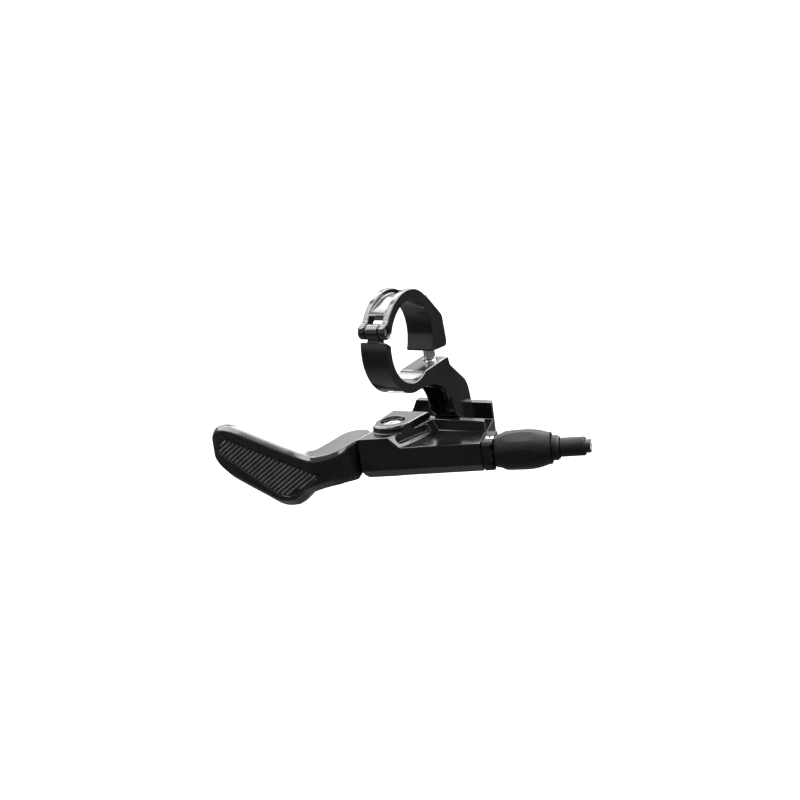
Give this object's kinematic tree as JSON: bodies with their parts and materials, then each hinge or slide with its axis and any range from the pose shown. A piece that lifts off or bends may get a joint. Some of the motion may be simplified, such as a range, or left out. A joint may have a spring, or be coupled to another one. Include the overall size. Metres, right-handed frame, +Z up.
{
  "type": "thumb lever remote",
  "caption": "Under-bar thumb lever with a hinged bar clamp, side-adjust rail, pivoting ribbed paddle, cable anchor and threaded barrel adjuster.",
  "frame": {"origin": "centre of the bar clamp's bore, halfway across the band", "axes": "+X along the handlebar towards the bike's middle, +Z up along the lever's pivot, +Y forward, away from the rider"},
  "size_m": [0.1062, 0.0468, 0.0606],
  "materials": {
    "anodised_alloy": "gloss black anodised",
    "black_plastic": "matte",
    "rubber": "matte",
    "steel": "bright zinc plated",
    "dark_steel": "black oxide",
    "bronze": "sintered bronze",
    "polymer": "plain acetal"
  },
  "bodies": {
    "bracket": {"bracket": "anodised_alloy", "hinge_pin": "steel", "rail_bolt": "dark_steel", "rail_washer": "steel"},
    "cap": {"clamp_cap": "anodised_alloy"},
    "screw_seat": {"screw_washer": "steel"},
    "screw": {"clamp_screw": "steel"},
    "housing": {"lever_housing": "anodised_alloy", "hub_cover": "anodised_alloy", "cover_screw_1": "steel", "cover_screw_2": "steel", "cover_screw_3": "steel", "pivot_bolt": "steel", "pivot_nut": "steel", "pivot_sleeve": "steel", "upper_washer": "polymer", "lower_washer": "polymer", "adjuster_seat": "black_plastic", "click_ball": "steel", "click_spring": "steel"},
    "lever": {"lever": "anodised_alloy", "thumb_pad": "rubber", "upper_bush": "bronze", "lower_bush": "bronze", "return_spring": "dark_steel"},
    "anchor": {"cable_anchor": "steel", "pinch_screw": "dark_steel", "inner_cable": "steel", "cable_tip": "dark_steel"},
    "carriage": {"ferrule_collar": "black_plastic", "ferrule_sleeve": "black_plastic", "housing_jacket": "rubber", "housing_liner": "polymer"},
    "barrel": {"barrel_adjuster": "black_plastic"}
  },
  "joints": [
    {"name": "clamp_hinge", "type": "hinge", "parent": "bracket", "child": "cap", "pos_m": [0, -0.0121, 0.0063], "axis": [1, 0, 0], "range_deg": [-1.49, 2.98]},
    {"name": "screw_travel", "type": "slide", "parent": "bracket", "child": "screw_seat", "axis": [0, 0, 1], "range_m": [-0.00072, 0.00142]},
    {"name": "clamp_screw_turn", "type": "hinge", "parent": "screw_seat", "child": "screw", "pos_m": [0, 0.0148, 0], "axis": [0, 0, 1], "range_deg": [-362, 722]},
    {"name": "side_adjust", "type": "slide", "parent": "bracket", "child": "housing", "axis": [1, 0, 0], "range_m": [-0.004, 0.004]},
    {"name": "lever_pivot", "type": "hinge", "parent": "housing", "child": "lever", "pos_m": [-0.0118, 0.0101, -0.0357], "axis": [0, 0, -1], "range_deg": [0, 35], "stiffness_Nm_per_rad": 0.08, "springref_deg": -20.05},
    {"name": "anchor_swivel", "type": "hinge", "parent": "lever", "child": "anchor", "pos_m": [-0.0087, 0.00568, -0.0357], "axis": [0, 0, -1], "range_deg": [-36, 0.5]},
    {"name": "adjuster_travel", "type": "slide", "parent": "housing", "child": "carriage", "axis": [0.9537, 0.3007, 0], "range_m": [0, 0.003]},
    {"name": "barrel_turn", "type": "hinge", "parent": "carriage", "child": "barrel", "pos_m": [0.0279, 0.01722, -0.03575], "axis": [0.9537, 0.3007, 0], "range_deg": [-1, 1351]}
  ],
  "couplings": [
    {"joint": "clamp_screw_turn", "follows": "clamp_hinge", "ratio": 241.45},
    {"joint": "screw_travel", "follows": "clamp_hinge", "m_per_rad": 0.0269},
    {"joint": "anchor_swivel", "follows": "lever_pivot", "ratio": -1},
    {"joint": "barrel_turn", "follows": "adjuster_travel", "rad_per_m": 7854}
  ]
}
